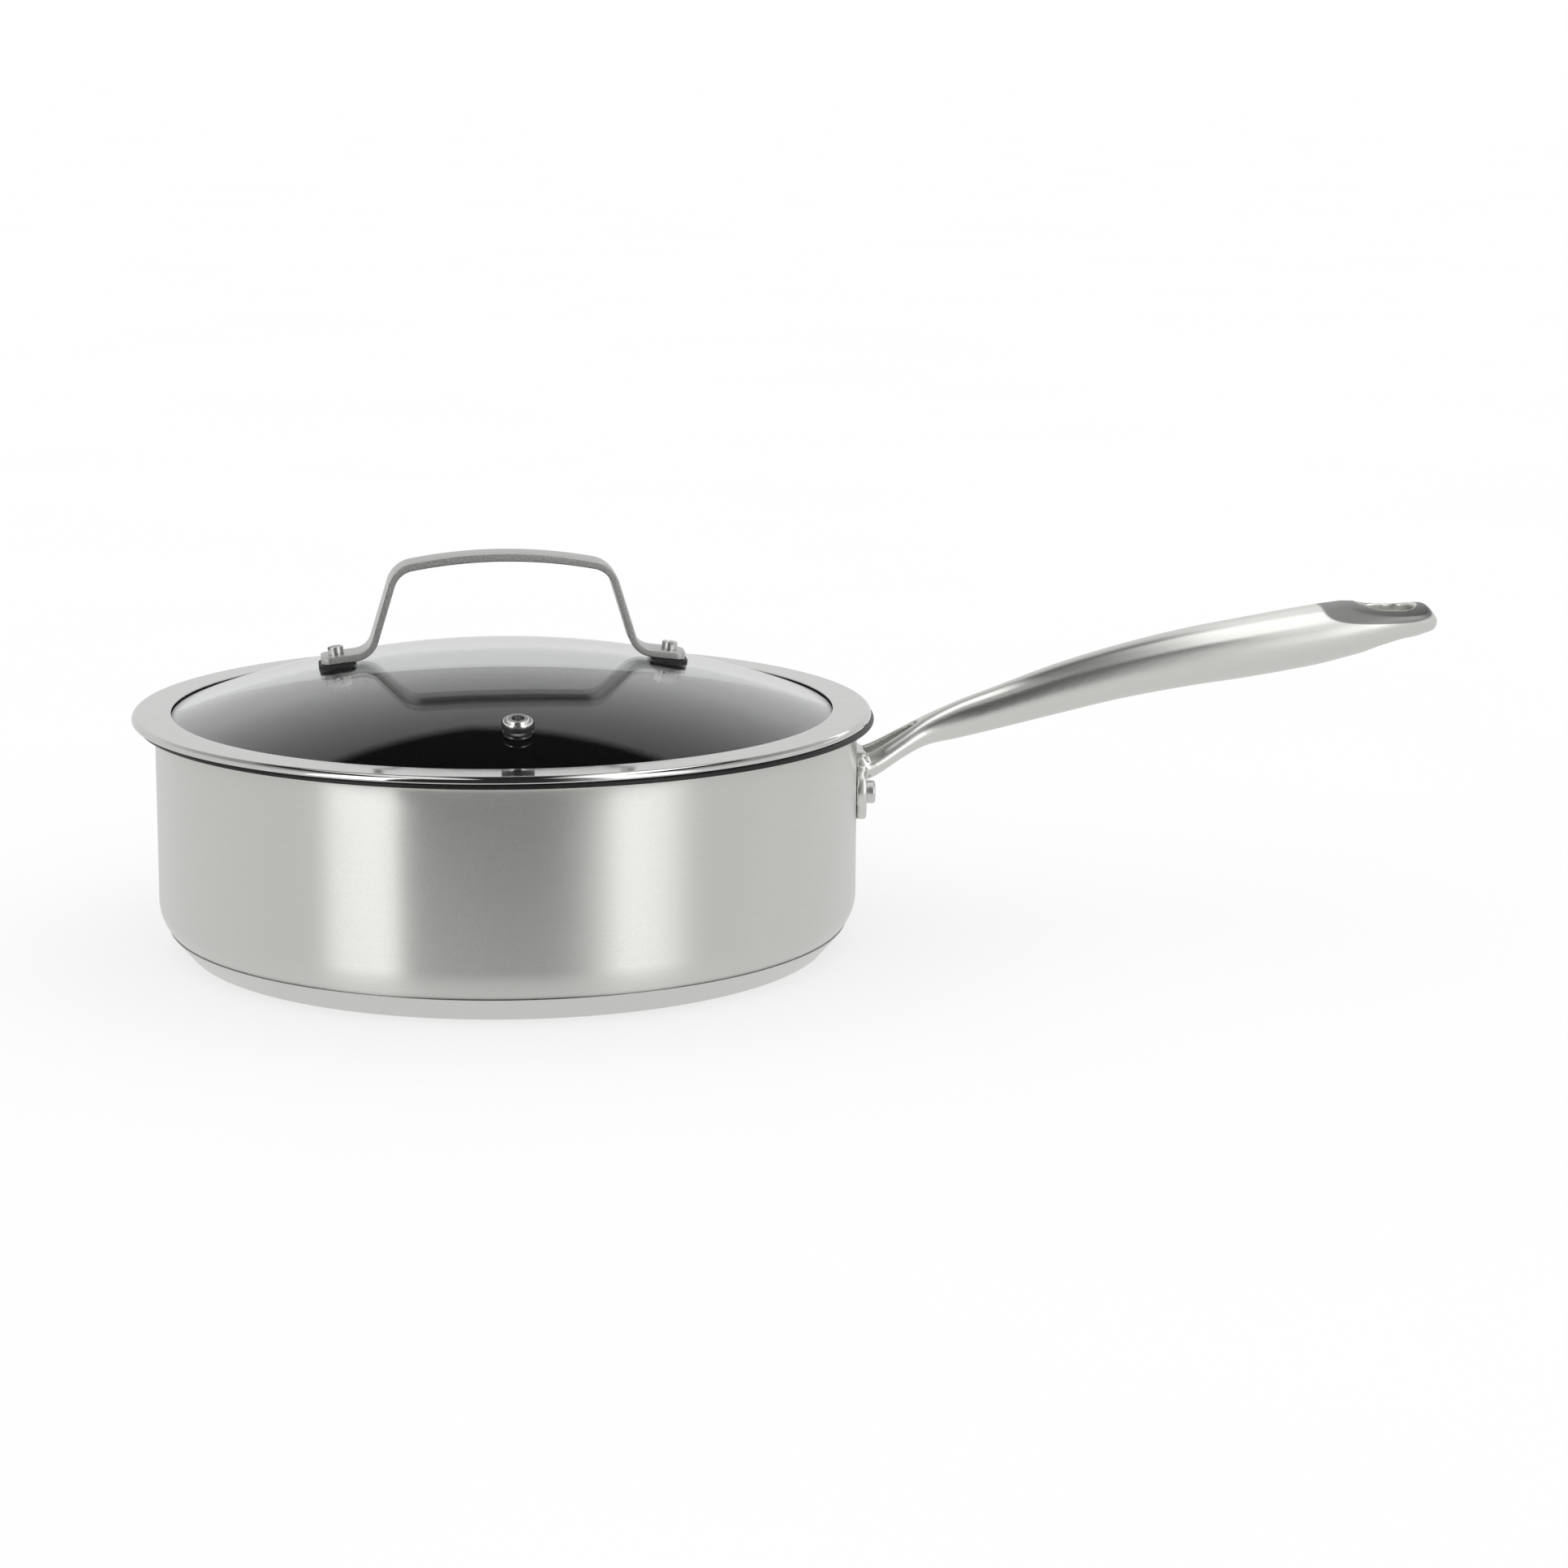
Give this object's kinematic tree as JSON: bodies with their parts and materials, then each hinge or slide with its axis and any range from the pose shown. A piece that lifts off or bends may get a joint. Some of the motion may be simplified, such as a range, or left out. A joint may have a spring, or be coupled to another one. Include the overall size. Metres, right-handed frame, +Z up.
{
  "type": "saute pan",
  "caption": "Straight-sided saute pan with a capsule base, a riveted forked cast handle and a vented glass lid that lifts off",
  "frame": {"origin": "centre of the base, on the plane of the hob", "axes": "+X along the long handle away from the pan, +Z up"},
  "size_m": [0.4586, 0.2548, 0.1364],
  "materials": {
    "pan_steel": "fine brushed round the wall",
    "polished_steel": "polished",
    "cast_steel": "tumbled satin",
    "satin_steel": "satin top, matte sheared sides",
    "fastener_steel": "bright turned",
    "core_aluminium": "plain",
    "black_silicone": "matte",
    "clear_glass": "clear, smooth"
  },
  "bodies": {
    "pan": {"pan_body": "pan_steel", "base_core": "core_aluminium", "base_cap": "polished_steel", "long_handle": "cast_steel", "handle_rivet_front": "fastener_steel", "handle_rivet_rear": "fastener_steel"},
    "lid": {"lid_rim": "polished_steel", "rim_gasket": "black_silicone", "lid_glass": "clear_glass", "vent_eyelet": "fastener_steel", "vent_seal": "black_silicone", "vent_backing": "fastener_steel", "lid_handle": "satin_steel", "screw_left": "fastener_steel", "screw_right": "fastener_steel", "upper_pad_left": "black_silicone", "upper_pad_right": "black_silicone", "soft_washer_left": "black_silicone", "soft_washer_right": "black_silicone", "steel_washer_left": "fastener_steel", "steel_washer_right": "fastener_steel", "cap_nut_left": "fastener_steel", "cap_nut_right": "fastener_steel"}
  },
  "joints": [
    {"name": "lid_lift", "type": "slide", "parent": "pan", "child": "lid", "axis": [0, 0, 1], "range_m": [0, 0.15]}
  ]
}
